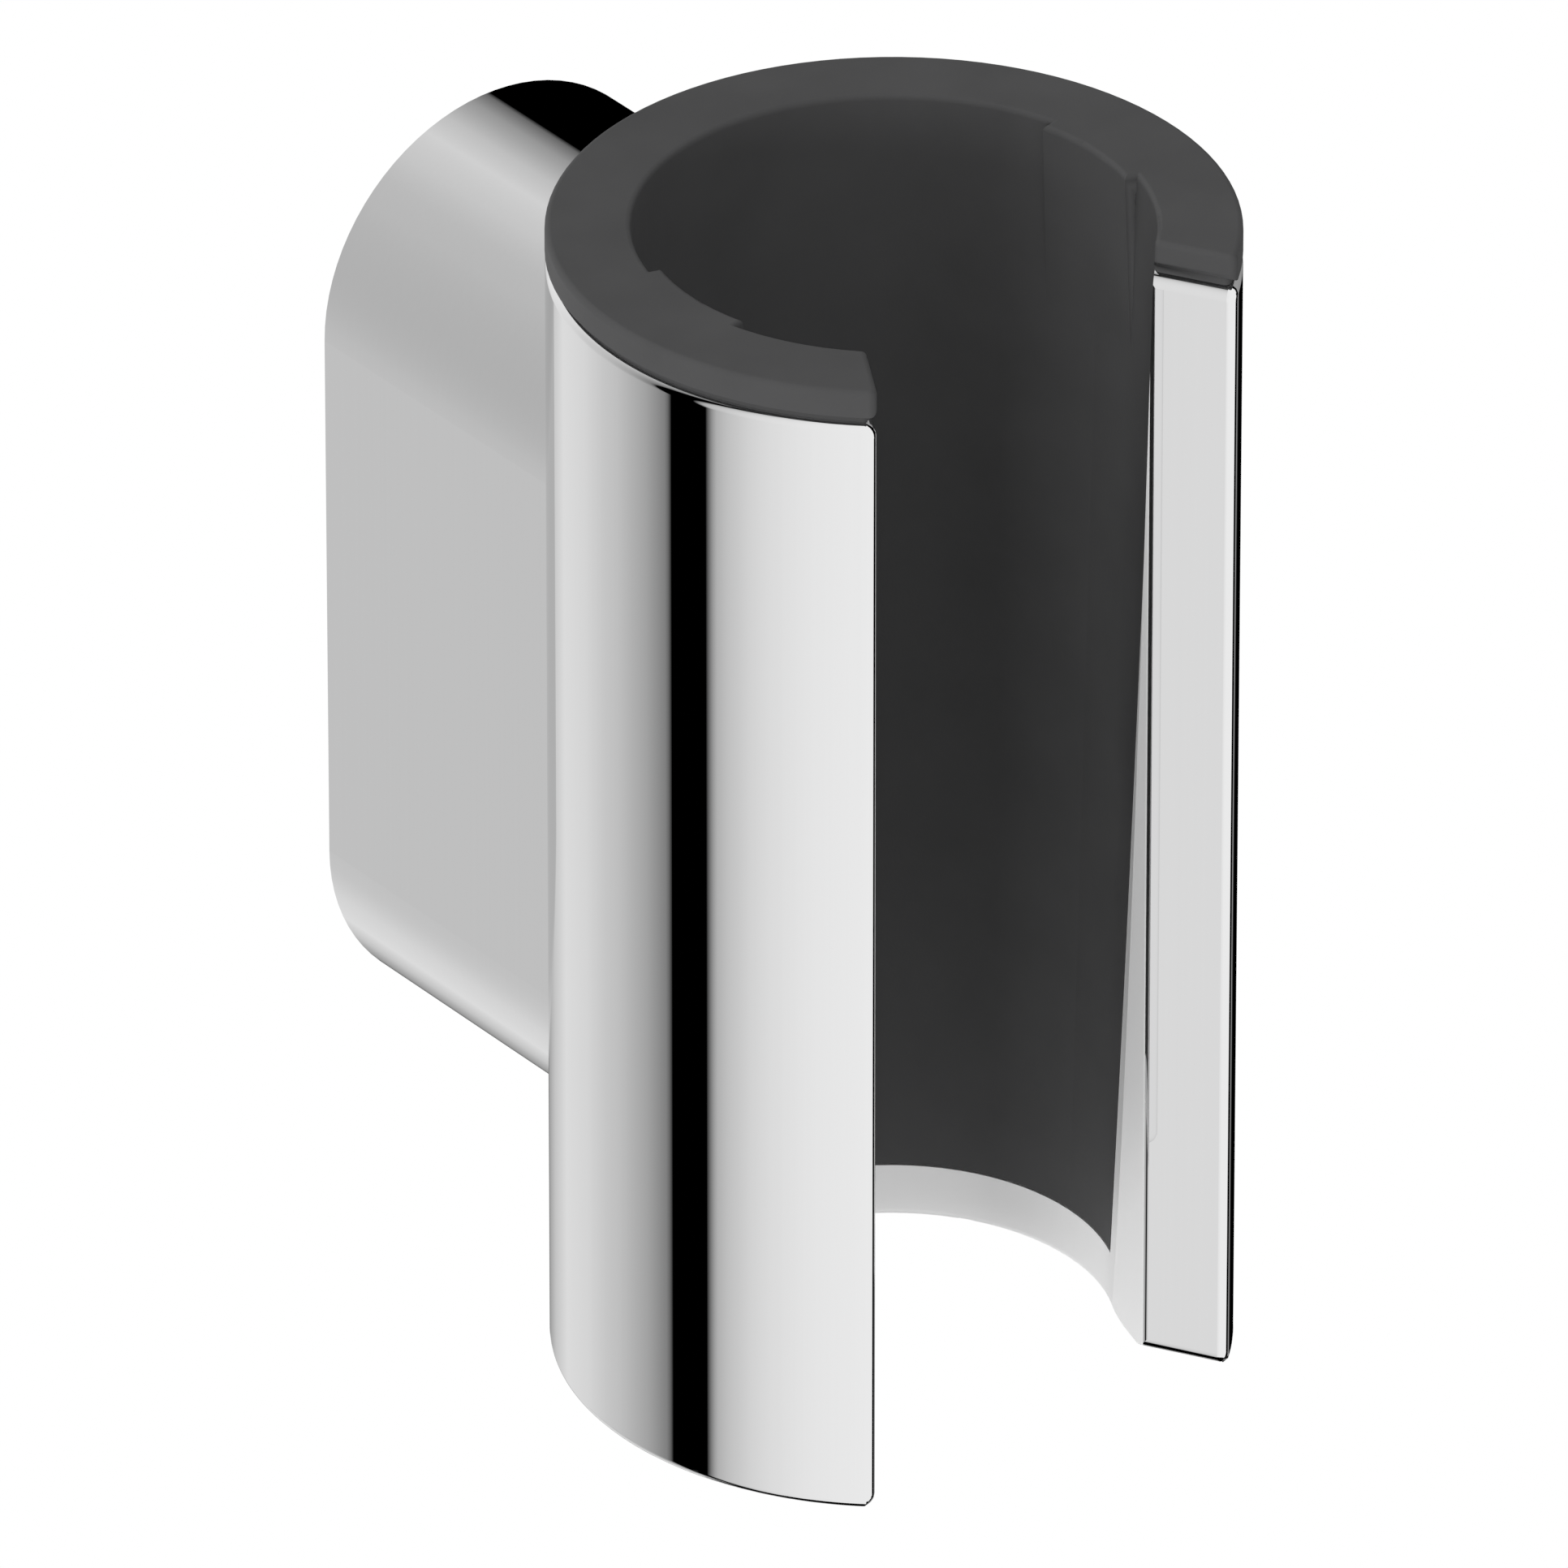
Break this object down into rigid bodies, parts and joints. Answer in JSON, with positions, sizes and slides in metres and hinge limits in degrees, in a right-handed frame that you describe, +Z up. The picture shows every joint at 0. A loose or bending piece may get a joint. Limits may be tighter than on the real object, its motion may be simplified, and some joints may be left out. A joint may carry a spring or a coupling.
{
  "type": "hand shower holder",
  "caption": "Wall holder for a hand shower: slotted chrome sleeve with a conical plastic liner, on a hollow stadium-section arm over a wall bracket.",
  "frame": {"origin": "on the wall face, at the middle of the arm", "axes": "+Z up along the sleeve, +Y into the wall, so the holder stands out along -Y with its slot facing -Y"},
  "size_m": [0.032, 0.0424, 0.0594],
  "materials": {
    "chrome_casting": "polished chrome plate",
    "liner_plastic": "dark grey moulded plastic, fine satin",
    "bracket_metal": "die cast, as cast",
    "screw_steel": "plain stainless"
  },
  "bodies": {
    "root": {"holder_body": "chrome_casting", "liner": "liner_plastic", "wall_bracket": "bracket_metal", "grub_screw": "screw_steel"}
  },
  "joints": []
}
